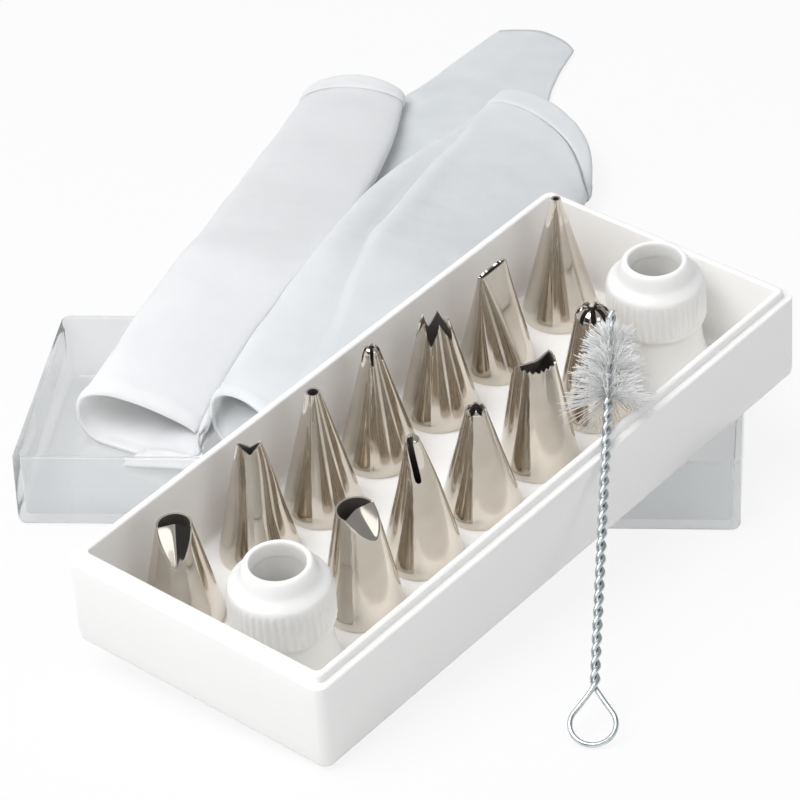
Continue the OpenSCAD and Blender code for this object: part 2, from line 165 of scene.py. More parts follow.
def add_camera():
    data = bpy.data.cameras.new("camera")
    data.sensor_fit = "HORIZONTAL"
    data.sensor_width = 36
    data.lens = FOCAL_PIXELS * data.sensor_width / IMAGE_PIXELS
    data.clip_start = 0.01
    data.clip_end = 50
    back = Vector((
        sin(CAMERA_YAW) * cos(CAMERA_RISE),
        -cos(CAMERA_YAW) * cos(CAMERA_RISE),
        sin(CAMERA_RISE),
    ))
    level = Vector((cos(CAMERA_YAW), sin(CAMERA_YAW), 0))
    upright = back.cross(level)
    right = level * cos(CAMERA_ROLL) + upright * sin(CAMERA_ROLL)
    up = upright * cos(CAMERA_ROLL) - level * sin(CAMERA_ROLL)
    camera = bpy.data.objects.new("camera", data)
    turn = Matrix((right, up, back)).transposed().to_4x4()
    camera.matrix_world = Matrix.Translation(CAMERA_TARGET + back * CAMERA_DISTANCE) @ turn
    bpy.context.scene.collection.objects.link(camera)
    bpy.context.scene.camera = camera


add_camera()


# Material helpers

class Paint:
    """A node material around one Principled shader."""

    def __init__(self, name, **values):
        self.material = bpy.data.materials.new(name)
        self.material.use_nodes = True
        self.tree = self.material.node_tree
        self.shader = self.tree.nodes["Principled BSDF"]
        self.put(self.shader, values)

    def put(self, node, values):
        for key, value in values.items():
            node.inputs[key.replace("_", " ")].default_value = value

    def add(self, kind, props=None, **values):
        node = self.tree.nodes.new("ShaderNode" + kind)
        for key, value in (props or {}).items():
            setattr(node, key, value)
        self.put(node, values)
        return node

    def link(self, source, target):
        self.tree.links.new(source, target)

    def place(self, scale=(1, 1, 1)):
        coords = self.add("TexCoord")
        mapping = self.add("Mapping", Scale=scale)
        self.link(coords.outputs["Object"], mapping.inputs["Vector"])
        return mapping.outputs["Vector"]

    def grain(self, vector, scale, detail=3, roughness=0.5):
        texture = self.add("TexNoise", Scale=scale, Detail=detail, Roughness=roughness)
        self.link(vector, texture.inputs["Vector"])
        return texture.outputs["Fac"]

    def ramp(self, source, low, high, start=0.3, end=0.7):
        node = self.add("ValToRGB")
        node.color_ramp.elements[0].position = start
        node.color_ramp.elements[1].position = end
        node.color_ramp.elements[0].color = (*low, 1)
        node.color_ramp.elements[1].color = (*high, 1)
        self.link(source, node.inputs["Fac"])
        return node.outputs["Color"]

    def span(self, source, low, high):
        node = self.add("MapRange")
        node.inputs["To Min"].default_value = low
        node.inputs["To Max"].default_value = high
        self.link(source, node.inputs["Value"])
        return node.outputs["Result"]

    def math(self, operation, a, b):
        node = self.add("Math", {"operation": operation})
        for socket, value in zip(node.inputs, (a, b)):
            if isinstance(value, (int, float)):
                socket.default_value = value
            else:
                self.link(value, socket)
        return node.outputs["Value"]

    def color(self, source):
        self.link(source, self.shader.inputs["Base Color"])

    def rough(self, source):
        self.link(source, self.shader.inputs["Roughness"])

    def bump(self, height, strength, distance):
        node = self.add("Bump", Strength=strength, Distance=distance)
        self.link(height, node.inputs["Height"])
        self.link(node.outputs["Normal"], self.shader.inputs["Normal"])


def clear_plastic():
    paint = Paint("clear_plastic", Base_Color=(0.885, 0.897, 0.903, 1), IOR=1.04, Transmission_Weight=0.82,
                  Coat_Weight=0.6, Coat_Roughness=0.03)
    where = paint.place()
    paint.rough(paint.span(paint.grain(where, 60), 0.01, 0.06))
    paint.bump(paint.grain(where, 25, 1), 0.04, 0.0006)
    return paint.material


def white_plastic():
    paint = Paint("white_plastic", IOR=1.49, Subsurface_Weight=0.15, Subsurface_Radius=(1, 1, 1),
                  Subsurface_Scale=0.0015)
    where = paint.place()
    paint.color(paint.ramp(paint.grain(where, 18), (0.955, 0.943, 0.924), (0.975, 0.965, 0.95)))
    paint.rough(paint.span(paint.grain(where, 400), 0.32, 0.46))
    paint.bump(paint.grain(where, 1500, 2), 0.08, 0.00005)
    return paint.material


def milky_plastic():
    paint = Paint("milky_plastic", IOR=1.5, Subsurface_Weight=0.4, Subsurface_Radius=(1, 0.95, 0.85),
                  Subsurface_Scale=0.003)
    where = paint.place()
    paint.color(paint.ramp(paint.grain(where, 60), (0.94, 0.928, 0.897), (0.962, 0.952, 0.926)))
    paint.rough(paint.span(paint.grain(where, 500), 0.28, 0.42))
    paint.bump(paint.grain(where, 900, 2), 0.1, 0.00006)
    return paint.material


def sheet_steel():
    paint = Paint("sheet_steel", Metallic=1)
    where = paint.place(scale=(1, 1, 0.12))
    drawn = paint.grain(where, 420, 3, 0.55)
    cloud = paint.grain(paint.place(), 90, 2)
    paint.color(paint.ramp(cloud, (0.61, 0.556, 0.492), (0.71, 0.664, 0.595)))
    paint.rough(paint.span(drawn, 0.05, 0.15))
    paint.bump(drawn, 0.05, 0.00012)
    return paint.material


def dull_steel():
    """Inside of a nozzle, unpolished."""
    paint = Paint("dull_steel", Metallic=0.7)
    where = paint.place()
    paint.color(paint.ramp(paint.grain(where, 160, 3), (0.36, 0.33, 0.3), (0.5, 0.47, 0.43)))
    paint.rough(paint.span(paint.grain(where, 700), 0.42, 0.6))
    return paint.material


def galvanised_wire():
    paint = Paint("galvanised_wire", Metallic=1)
    where = paint.place()
    spangle = paint.grain(where, 700, 3)
    paint.color(paint.ramp(spangle, (0.48, 0.52, 0.53), (0.76, 0.79, 0.8)))
    paint.rough(paint.span(paint.grain(where, 1500), 0.18, 0.42))
    paint.bump(spangle, 0.15, 0.00008)
    return paint.material


def nylon():
    paint = Paint("nylon", IOR=1.5, Roughness=0.3, Sheen_Weight=1, Sheen_Roughness=0.3)
    where = paint.place()
    paint.color(paint.ramp(paint.grain(where, 300), (0.97, 0.975, 0.978), (0.99, 0.99, 0.99)))
    return paint.material


def cloth(name, low, high):
    paint = Paint(name, Sheen_Weight=0.2, Sheen_Roughness=0.5, Subsurface_Weight=0.85,
                  Subsurface_Radius=(1, 0.97, 0.9), Subsurface_Scale=0.004)
    where = paint.place()
    threads = []
    for direction in ("X", "Y"):
        wave = paint.add("TexWave", {"bands_direction": direction}, Scale=700, Distortion=0.8, Detail=1)
        paint.link(where, wave.inputs["Vector"])
        threads.append(wave.outputs["Fac"])
    weave = paint.math("MAXIMUM", threads[0], threads[1])
    slub = paint.grain(where, 90, 4)
    paint.color(paint.ramp(slub, low, high))
    paint.rough(paint.span(slub, 0.6, 0.85))
    paint.bump(paint.math("ADD", weave, paint.math("MULTIPLY", slub, 0.8)), 0.2, 0.00012)
    return paint.material


def thin_cloth():
    """Single layer of the bag: white by the mouth, with painted shade that makes it greyer and bluer towards
    its far end.
    """
    paint = Paint("thin_cloth", Sheen_Weight=0.15, Sheen_Roughness=0.5, Subsurface_Weight=0.5,
                  Subsurface_Radius=(1, 1, 1), Subsurface_Scale=0.002)
    where = paint.place()
    slub = paint.grain(where, 90, 4)
    near = paint.ramp(slub, (0.885, 0.885, 0.88), (0.925, 0.925, 0.92))
    # Painted shade: the greyer, bluer colour given to the far end of the layer
    far = paint.ramp(slub, (0.66, 0.69, 0.705), (0.72, 0.745, 0.755))
    axes = paint.add("SeparateXYZ")
    paint.link(where, axes.inputs["Vector"])
    # Where the painted shade takes over along the layer's length
    along = paint.add("MapRange", From_Min=0.03, From_Max=0.11)
    paint.link(axes.outputs["Y"], along.inputs["Value"])
    mix = paint.add("MixRGB")
    paint.link(along.outputs["Result"], mix.inputs["Fac"])
    paint.link(near, mix.inputs["Color1"])
    paint.link(far, mix.inputs["Color2"])
    paint.color(mix.outputs["Color"])
    paint.rough(paint.span(slub, 0.6, 0.85))
    paint.bump(slub, 0.2, 0.00012)
    return paint.material


CLEAR = clear_plastic()
WHITE = white_plastic()
MILKY = milky_plastic()
STEEL = sheet_steel()
DULL_STEEL = dull_steel()
WIRE = galvanised_wire()
NYLON = nylon()
CLOTH = cloth("bag_cloth", (0.925, 0.925, 0.923), (0.962, 0.962, 0.96))
# Cloth of the right fold with painted shade: the same cloth made darker and bluer than the left fold's
SHADED_CLOTH = cloth("painted_shade_cloth", (0.745, 0.768, 0.774), (0.785, 0.806, 0.811))
THIN_CLOTH = thin_cloth()


# Mesh helpers

def make(name, verts, faces, place=None, crease=None):
    """A mesh object from points in millimetres, smooth except across edges sharper than crease degrees."""
    mesh = bpy.data.meshes.new(name)
    mesh.from_pydata([tuple(Vector(v) * MM) for v in verts], [], faces)
    mesh.update()
    mesh.shade_smooth()
    if crease:
        mesh.set_sharp_from_angle(angle=radians(crease))
    obj = bpy.data.objects.new(name, mesh)
    bpy.context.scene.collection.objects.link(obj)
    if place is not None:
        obj.matrix_world = Matrix.Translation(place.to_translation() * MM) @ place.to_3x3().to_4x4()
        bpy.context.view_layer.update()
    return obj


def dress(obj, body, nodes, material):
    """Gives a piece its material and says which body it rides, which nodes it replaces."""
    obj.data.materials.append(material)
    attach(obj, body)
    if nodes:
        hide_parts(*nodes)
    return obj


def strip_faces(rows, columns, closed=True, start=0):
    """Quads between neighbouring rows of points."""
    faces = []
    last = columns if closed else columns - 1
    for i in range(rows - 1):
        for k in range(last):
            a = start + i * columns + k
            b = start + i * columns + (k + 1) % columns
            faces.append((a, b, b + columns, a + columns))
    return faces


def round_outline(length, width, radius, steps=8):
    """Corner points of a rectangle with round corners, counter-clockwise."""
    points = []
    for side_x, side_y, start in ((1, 1, 0), (-1, 1, 90), (-1, -1, 180), (1, -1, 270)):
        x = side_x * (length / 2 - radius)
        y = side_y * (width / 2 - radius)
        for i in range(steps + 1):
            a = radians(start + 90 * i / steps)
            points.append((x + radius * cos(a), y + radius * sin(a)))
    return points


def box_shell(name, rings, place=None):
    """A shell through outlines given as (inset, corner radius, height), closed at both ends."""
    verts = []
    for inset, corner, z in rings:
        verts += [(x, y, z) for x, y in round_outline(BOX_L - 2 * inset, BOX_W - 2 * inset, corner)]
    columns = len(verts) // len(rings)
    faces = strip_faces(len(rings), columns)
    faces.append(tuple(range(columns - 1, -1, -1)))
    faces.append(tuple(range(len(verts) - columns, len(verts))))
    return make(name, verts, faces, place, crease=50)


def lathe(name, profile, columns, place, shape=None, crease=40):
    """A closed ring turned from (radius, height) points. shape may change a point's radius by its angle."""
    verts = []
    for i, (r, z) in enumerate(profile):
        for k in range(columns):
            a = 2 * pi * k / columns
            grown = shape(i, r, z, a) if shape else r
            verts.append((grown * cos(a), grown * sin(a), z))
    rows = len(profile)
    faces = strip_faces(rows, columns)
    last = (rows - 1) * columns
    faces += [(last + k, last + (k + 1) % columns, (k + 1) % columns, k) for k in range(columns)]
    return make(name, verts, faces, place, crease)


def sweep(points, radius, sides):
    """Points and faces of a round tube along a line of points, with flat ends. radius may be a list."""
    verts = []
    side = None
    for i, p in enumerate(points):
        before = points[max(0, i - 1)]
        after = points[min(len(points) - 1, i + 1)]
        along = (after - before).normalized()
        if side is None:
            side = along.orthogonal().normalized()
        side = (side - along * side.dot(along)).normalized()
        other = along.cross(side)
        r = radius[i] if isinstance(radius, list) else radius
        for k in range(sides):
            a = 2 * pi * k / sides
            verts.append(p + side * (r * cos(a)) + other * (r * sin(a)))
    faces = strip_faces(len(points), sides)
    faces.append(tuple(range(sides - 1, -1, -1)))
    faces.append(tuple(range(len(verts) - sides, len(verts))))
    return verts, faces


def add_tube(verts, faces, points, radius, sides):
    """Adds a round tube along a line of points to the points and faces of a mesh."""
    rings, skin = sweep(points, radius, sides)
    faces += [tuple(len(verts) + n for n in face) for face in skin]
    verts += rings


ON_TRAY = (
    Matrix.Translation((TRAY_X, TRAY_Y, TRAY_Z))
    @ Matrix.Rotation(TRAY_TILT, 4, "X")
    @ Matrix.Rotation(TRAY_TURN, 4, "Z")
)


def stand(u, v, turn):
    """Frame of a piece that stands on the tray's floor."""
    foot = Matrix.Translation((u, v, TRAY_FLOOR + STAND_GAP))
    return ON_TRAY @ foot @ Matrix.Rotation(radians(turn), 4, "Z")


# Storage box

lid = box_shell("clear_lid", [
    (1.3, 1.4, 0),
    (0.5, 1.9, 0.25),
    (0.1, BOX_CORNER, 1),
    (0, BOX_CORNER, 2),
    (0, BOX_CORNER, LID_H - 0.5),
    (0.2, BOX_CORNER, LID_H - 0.1),
    (0.5, BOX_CORNER - 0.3, LID_H),
    (LID_WALL - 0.5, 1.6, LID_H),
    (LID_WALL - 0.2, 1.5, LID_H - 0.1),
    (LID_WALL, 1.4, LID_H - 0.5),
    (LID_WALL + 0.15, 1.4, LID_WALL + 1.2),
    (LID_WALL + 0.5, 1.3, LID_WALL + 0.4),
    (LID_WALL + 1.3, 1, LID_WALL),
])
dress(lid, "lid", ["lid"], CLEAR)

LIP_TOP = TRAY_H + LIP_H
tray = box_shell("white_tray", [
    (1.9, 1.6, 0),
    (0.9, 2, 0.2),
    (0.3, 2.2, 0.8),
    (0.05, BOX_CORNER + 0.2, 2),
    (0, BOX_CORNER + 0.2, 4),
    (0, BOX_CORNER + 0.2, TRAY_H - 0.5),
    (0.15, BOX_CORNER, TRAY_H - 0.12),
    (0.5, BOX_CORNER, TRAY_H),
    (LIP_INSET - 0.1, 1.6, TRAY_H),
    (LIP_INSET, 1.5, TRAY_H + 0.15),
    (LIP_INSET, 1.5, LIP_TOP - 0.5),
    (LIP_INSET + 0.15, 1.5, LIP_TOP - 0.12),
    (LIP_INSET + 0.5, 1.4, LIP_TOP),
    (TRAY_WALL - 0.5, 1.3, LIP_TOP),
    (TRAY_WALL - 0.15, 1.3, LIP_TOP - 0.12),
    (TRAY_WALL, 1.2, LIP_TOP - 0.5),
    (TRAY_WALL + 0.1, 1.3, TRAY_FLOOR + 2),
    (TRAY_WALL + 0.3, 1.5, TRAY_FLOOR + 0.6),
    (TRAY_WALL + 0.8, 1.8, TRAY_FLOOR + 0.12),
    (TRAY_WALL + 1.8, 2, TRAY_FLOOR),
], ON_TRAY)
dress(tray, "tray", ["tray"], WHITE)


# Nozzles: a sheet of metal drawn up from a round foot, each with its own tip

def cone(tip_r, top):
    """Radius by height of a plain cone on a short straight foot."""
    def radius(z):
        t = max(0, (z - FOOT_H) / (top - FOOT_H))
        return FOOT_R + (tip_r - FOOT_R) * t
    return radius


def rounded_tip(tip_r, top, end_r, length):
    """Radius by height of a cone whose last stretch curls in."""
    plain = cone(tip_r, top - length)

    def radius(z):
        over = z - (top - length)
        if over <= 0:
            return plain(z)
        t = min(1, over / length)
        return end_r + (tip_r - end_r) * sqrt(max(0, 1 - t * t))
    return radius


def level(top):
    """Height of a plain tip edge."""
    return lambda a: top


def zigzag(top, teeth, depth):
    """Height of a tip edge with pointed teeth."""
    def edge(a):
        t = a / (2 * pi) * teeth % 1
        return top - depth * (1 - abs(2 * t - 1))
    return edge


def half_angle(width, r):
    """Half of the angle that a width takes up at a radius."""
    return asin(min(1, width / 2 / r))


def slotted(top, radius, slots):
    """Height of a tip edge with narrow cuts, each given as (direction, width, depth)."""
    def edge(a):
        height = top
        for direction, width, depth in slots:
            off = abs((a - direction + pi) % (2 * pi) - pi)
            if off > pi / 2:
                continue
            bottom = top - depth
            half = half_angle(width, radius(bottom))
            if half > off:
                height = min(height, bottom + SLOT_ROUND * width * (off / half) ** 2)
                continue
            z = bottom
            while z < height and half_angle(width, radius(z)) < off:
                z += SLOT_STEP
            height = min(height, z)
        return height
    return edge


def straight(x, y, z):
    """Leaves a nozzle as it was drawn."""
    return x, y, z


def dented(top, x_top, slope, hollow):
    """Presses the side that +X faces in to a sloping trough, which is rounder further down."""
    def warp(x, y, z):
        depth = max(0, top - z)
        trough = sqrt(y * y + DENT_BOTTOM ** 2) - DENT_BOTTOM
        limit = x_top + depth * slope + hollow * (1 + 0.2 * depth) * trough
        return soft_min(x, limit, DENT_EDGE), y, z
    return warp


def swayed(start, top, angle, lean):
    """Turns the tip more and more and leans it the same way, so that a slot in it runs in a curve."""
    def warp(x, y, z):
        t = min(1, max(0, (z - start) / (top - start)))
        turn = angle * t * t
        return x * cos(turn) - y * sin(turn), x * sin(turn) + y * cos(turn) + lean * t * t, z
    return warp


def pinched(start, top, depth, width):
    """Flattens the tip front to back."""
    def warp(x, y, z):
        t = smooth_step(start, top, z)
        return x * (1 + (depth - 1) * t), y * (1 + (width - 1) * t), z
    return warp


def squared_off(c):
    """A sine or cosine with its curve squared off and its sign kept."""
    return (1 if c > 0 else -1) * abs(c) ** SLIT_POWER


def flattened(top, half_l, half_t):
    """Draws the round foot out to a flat slit along X."""
    def warp(x, y, z):
        a = atan2(y, x)
        t = max(0, (z - FOOT_H) / (top - FOOT_H))
        sx = half_l * squared_off(cos(a))
        sy = half_t * squared_off(sin(a))
        return FOOT_R * cos(a) * (1 - t) + sx * t, FOOT_R * sin(a) * (1 - t) + sy * t, z
    return warp


def nozzle(name, u, v, turn, radius, edge, warp=straight, columns=180, rows=44):
    """A nozzle on the tray's floor: radius by height, height of its edge by angle, and how it is pressed."""
    seam = radians(FACE - turn + SEAM_SIDE)
    angles = [2 * pi * k / columns for k in range(columns)]
    tops = [edge(a) for a in angles]
    low = [0, 0.25, FOOT_H * 0.5, FOOT_H - 0.2, FOOT_H + 0.2]
    verts = []
    for row in range(len(low) + rows):
        for a, top in zip(angles, tops):
            if row < len(low):
                z = low[row]
            else:
                t = (row - len(low) + 1) / rows
                z = low[-1] + (top - low[-1]) * (1 - (1 - t) ** ROW_POWER)
            r = radius(z)
            if row == 0:
                r -= FOOT_EDGE
            wander = seam + 0.5 * SEAM_W / r * noise.noise(Vector((u, v, z * SEAM_WAVES)))
            off = (a - wander + pi) % (2 * pi) - pi
            fade = smooth_step(0, 1, z) * smooth_step(top, top - SEAM_FADE, z)
            r += SEAM_RISE * exp(-(off * r / SEAM_W) ** 2) * fade
            verts.append(warp(r * cos(a), r * sin(a), z))
    obj = make("tip_" + name, verts, strip_faces(rows + len(low), columns), stand(u, v, turn))
    wall = obj.modifiers.new("wall", "SOLIDIFY")
    wall.thickness = SHEET_T * MM
    wall.offset = -1
    wall.material_offset = 1
    split = obj.modifiers.new("edges", "EDGE_SPLIT")
    split.split_angle = radians(45)
    dress(obj, "nozzle_" + name, ["nozzle_" + name], STEEL)
    obj.data.materials.append(DULL_STEEL)
    return obj


# Each nozzle stands loose, a little off its place in the row

def back_row(name, column, off, turn, radius, edge, warp=straight):
    nozzle(name, COL_MIDDLE + column + off[0], BACK_ROW + off[1], turn, radius, edge, warp)


def front_row(name, column, off, turn, radius, edge, warp=straight):
    nozzle(name, COL_MIDDLE + column + off[0], FRONT_ROW + off[1], turn, radius, edge, warp)


def ring_of_slots(count, width, depth):
    """Equal cuts all around a tip."""
    return [(2 * pi * i / count, width, depth) for i in range(count)]


def ruffle_edge(top):
    """Fine teeth on the half that faces away from +X."""
    depth = 0.8
    pitch = radians(17)
    reach = radians(80)

    def edge(a):
        if abs(a - pi) > reach:
            return top
        return top - depth * (1 - abs(2 * ((a - pi) / pitch % 1) - 1))
    return edge


def ribbon_edge(top):
    """Fine teeth along one side of the slit."""
    depth = 0.5
    teeth = 4
    side = 0.25

    def edge(a):
        if sin(a) < side:
            return top
        return top - depth * (1 - abs(2 * (cos(a) * teeth % 1) - 1))
    return edge


petal_top = NOZZLE_H - 7.4
back_row("petal", -END_COL, (-0.5, -0.9), FACE, cone(4, petal_top), level(petal_top),
         dented(petal_top, 0.1, 0.65, 0.3))

leaf_top = NOZZLE_H - 2.2
back_row("leaf", -2 * COL_PITCH, (0.9, 0), FACE, cone(2.5, leaf_top),
         lambda a: leaf_top - 2.4 * (1 - abs(sin(a))), pinched(12, leaf_top, 0.5, 1.12))

round_top = NOZZLE_H - 0.8
back_row("round", -COL_PITCH, (0.2, -0.9), FACE, cone(1.65, round_top), level(round_top))

star_top = NOZZLE_H - 2.2
star_radius = rounded_tip(2.1, star_top, 0.9, 1.8)
back_row("closed_star", 0, (0.4, 0.4), FACE, star_radius,
         slotted(star_top, star_radius, ring_of_slots(5, 0.85, 3.8)))

open_top = NOZZLE_H - 6.6
back_row("open_star", COL_PITCH, (0, -0.5), FACE + 20, cone(3.3, open_top), zigzag(open_top, 5, 5.4))

ribbon_top = NOZZLE_H - 6
back_row("ribbon", 2 * COL_PITCH, (0.4, 0), 1, cone(2, ribbon_top), ribbon_edge(ribbon_top),
         flattened(ribbon_top, 5, 0.9))

back_row("writer", END_COL, (0, 0), FACE, cone(1.15, NOZZLE_H), level(NOZZLE_H))

wide_top = NOZZLE_H - 5.8
front_row("wide_petal", -2 * COL_PITCH, (0.2, -0.4), FACE + 45, cone(4.6, wide_top), level(wide_top),
          dented(wide_top, 0, 0.95, 0.26))

rose_top = NOZZLE_H + 0.8
rose_radius = rounded_tip(1.8, rose_top, 0.35, 1.6)
front_row("rose", -COL_PITCH, (0, 0), FACE + 6, rose_radius,
          slotted(rose_top, rose_radius, [(0, 1.5, 10.6)]), swayed(rose_top - 16, rose_top, -0.55, -0.8))

small_top = NOZZLE_H - 4.8
small_radius = rounded_tip(2.6, small_top, 1.2, 2)
front_row("small_star", 0, (-0.3, 0.4), FACE, small_radius, zigzag(small_top, 6, 1.5))

ruffle_top = NOZZLE_H - 4.6
front_row("ruffle", COL_PITCH, (-0.9, 0.2), FACE + 214, cone(4.8, ruffle_top), ruffle_edge(ruffle_top),
          dented(ruffle_top, -0.5, 0.45, 0.3))

drop_top = NOZZLE_H - 3.4
drop_radius = rounded_tip(4.2, drop_top, 1.2, 3.2)
front_row("drop_flower", 2 * COL_PITCH, (-0.4, 0.6), FACE, drop_radius,
          slotted(drop_top, drop_radius, ring_of_slots(8, 1.2, 3)))


# Couplers

def coupler(name, side):
    """A flared base with a threaded neck and its ribbed ring nut, at the tray's -1 or +1 end."""
    place = stand(COUPLER_MIDDLE + side * COUPLER_COL, FRONT_ROW, 0)
    nut_z = COUPLER_H - NUT_H
    hole = NUT_HOLE_D / 2
    out = NUT_D / 2
    shoulder = nut_z + NUT_H - 4.2
    rib_top = shoulder - 2.2
    collar = hole + 1.7
    wall = out - 0.35
    inside = 9.55
    profile = [
        (9.6, nut_z), (9.9, nut_z), (out - 0.7, nut_z), (out - 0.4, nut_z + 0.2), (wall, nut_z + 0.6),
        (wall, nut_z + 1.2), (wall, nut_z + 3), (wall, rib_top - 3), (wall, rib_top - 0.8),
        (out - 0.36, rib_top), (out - 0.45, rib_top + 0.5), (out - 0.8, rib_top + 1.1),
        (out - 1.5, rib_top + 1.6), (collar + 1.9, shoulder - 0.2), (collar + 1.25, shoulder + 0.3),
        (collar + 0.9, shoulder + 0.8), (collar + 0.6, shoulder + 1.5), (collar + 0.2, COUPLER_H - 1.4),
        (collar - 0.15, COUPLER_H - 0.6), (collar - 0.5, COUPLER_H - 0.15), (collar - 0.8, COUPLER_H),
        (hole + 0.55, COUPLER_H), (hole + 0.2, COUPLER_H - 0.1), (hole + 0.03, COUPLER_H - 0.4),
        (hole, COUPLER_H - 1), (hole, shoulder + 0.4), (hole + 0.5, shoulder), (9.3, rib_top + 0.9),
        (inside, rib_top + 0.5), (inside, nut_z + 0.4),
    ]
    first_rib = 4
    last_rib = 9

    def ribs(i, r, z, a):
        if not first_rib <= i <= last_rib:
            return r
        fade = smooth_step(rib_top + 0.1, rib_top - 1.2, z) * smooth_step(nut_z + 0.4, nut_z + 1.2, z)
        return r + RIB_RISE * fade * (0.5 + 0.5 * cos(RIBS * a)) ** RIB_POWER

    nut = lathe("ring_nut_" + name, profile, RIBS * 8, place, ribs)
    dress(nut, "coupler_nut_" + name, ["coupler_nut_" + name], MILKY)

    neck_z = nut_z - 0.5
    neck_top = COUPLER_H - 5.2
    foot = BASE_D / 2
    skirt = [
        (foot - 1.6, 0), (foot - 0.3, 0), (foot, 0.3), (foot, 1.3), (foot - 0.2, 1.7), (11.6, 4.5), (11, 8),
        (10.7, neck_z - 1.5), (10.55, neck_z - 0.4), (10.2, neck_z), (NECK_R, neck_z),
    ]
    for i in range(THREADS):
        z = neck_z + 2 + THREAD_PITCH * i
        skirt += [(NECK_R, z - 0.3), (THREAD_R, z + 0.2), (THREAD_R, z + 0.8), (NECK_R, z + 1.2)]
    skirt += [
        (NECK_R, neck_top - 0.6), (hole + 0.35, neck_top + 1.05), (hole + 0.1, neck_top + 1.3),
        (hole, neck_top + 1.2), (hole, neck_z), (foot - 1.7, 0.4),
    ]
    base = lathe("skirt_" + name, skirt, 128, place)
    dress(base, "coupler_base_" + name, ["coupler_base_" + name], MILKY)


coupler("front", -1)
coupler("rear", 1)


# Brush: one wire, bent into a loop and twisted with itself

ON_BRUSH = (
    Matrix.Translation(BRUSH_FOOT)
    @ Matrix.Rotation(BRUSH_TURN, 4, "Z")
    @ Matrix.Rotation(BRUSH_RISE - pi / 2, 4, "X")
)


def twisted(z, side):
    """Point of one of the stem's two strands at a distance from the loop's end."""
    a = 2 * pi * z / TWIST_PITCH + side * pi
    return Vector((WIRE_R * cos(a), WIRE_R * sin(a), z))


def twist_points(side):
    """Points of one strand from the loop to the tip."""
    steps = ceil((BRUSH_TIP - STEM_START) / TWIST_PITCH * TWIST_STEPS)
    return [twisted(STEM_START + (BRUSH_TIP - STEM_START) * i / steps, side) for i in range(steps + 1)]


def loop_points(start, end):
    """Round bow between two ends that lie close together at the foot of the twisted stem."""
    bow_r = LOOP_W / 2 - WIRE_R
    bow_z = bow_r + WIRE_R
    open_angle = radians(38)
    turn_steps = 40
    leg_steps = 9
    # Where the legs bend towards each other, as shares of the bow's radius
    knee_out = 0.34
    knee_up = 1.25
    points = []
    for i in range(turn_steps + 1):
        a = open_angle - (pi + 2 * open_angle) * i / turn_steps
        points.append(Vector((bow_r * cos(a), 0, bow_z + bow_r * sin(a))))
    legs = []
    for tip, near in ((start, points[0]), (end, points[-1])):
        side = 1 if near.x > 0 else -1
        bend = Vector((bow_r * knee_out * side, 0, bow_z + bow_r * knee_up))
        leg = []
        for i in range(1, leg_steps):
            t = i / leg_steps
            leg.append(tip * (1 - t) ** 2 + bend * (2 * t * (1 - t)) + near * t * t)
        legs.append(leg)
    return legs[0] + points + legs[1][::-1]


def brush_wire():
    """The wire from the tip down one strand, round the loop and up the other."""
    first = twist_points(0)
    second = twist_points(1)
    if first[0].x < 0:
        first, second = second, first
    line = first[::-1] + loop_points(first[0], second[0]) + second
    verts, faces = sweep(line, WIRE_R, 10)
    obj = make("wire", verts, faces, ON_BRUSH, crease=60)
    dress(obj, "brush", ["brush_loop", "brush_stem"], WIRE)


def bristle_room(z, a):
    """Free length of a bristle before it meets the tray's front wall."""
    past = z - LIP_CROSS
    above_lip = 1 + past * STEM_CLIMB
    inside_wall = past * STEM_INWARD - LIP_INSET
    # Shares of its length that go down, and out through the wall
    down = 0.937 * sin(a)
    outward = 0.82 * cos(a) - 0.2 * sin(a)
    least = 0.05
    room_down = above_lip / down if down > least else BRISTLE_REACH
    room_out = inside_wall / outward if outward > least else BRISTLE_REACH
    return max(room_down, room_out)


def brush_bristles():
    """Hairs held between the two wires, in soft tiers, leaning more towards the tip the higher they sit."""
    chance = random.Random(7)
    verts = []
    faces = []
    for i in range(BRISTLES):
        share = (i + chance.random()) / BRISTLES
        z = BRISTLE_START + (BRISTLE_END - BRISTLE_START) * share
        a = 2 * pi * z / TWIST_PITCH + pi * (i % 2) + chance.gauss(0, 0.5)
        lean = BRISTLE_LEAN + BRISTLE_LEAN_GAIN * share + chance.gauss(0, 0.08)
        tier = 1 - TIER_DEPTH + TIER_DEPTH * cos(TIER_HALF_WAVES * pi * share)
        reach = (BRISTLE_REACH - BRISTLE_TAPER * share) * tier * chance.uniform(0.85, 1.0)
        reach = min(reach, bristle_room(z + min(0, lean) * BRISTLE_REACH, a) - BRISTLE_GAP)
        if reach < BRISTLE_MIN:
            continue
        bow = chance.gauss(0, 0.05)
        steps = 3
        line = []
        for j in range(steps + 1):
            r = BRISTLE_ROOT + (reach - BRISTLE_ROOT) * j / steps
            b = a + bow * (j / steps) ** 2
            line.append(Vector((r * cos(b), r * sin(b), z + lean * r)))
        add_tube(verts, faces, line, BRISTLE_R, 3)
    obj = make("bristles", verts, faces, ON_BRUSH)
    dress(obj, "brush", ["brush_bristles"], NYLON)


brush_wire()
brush_bristles()


# Bag

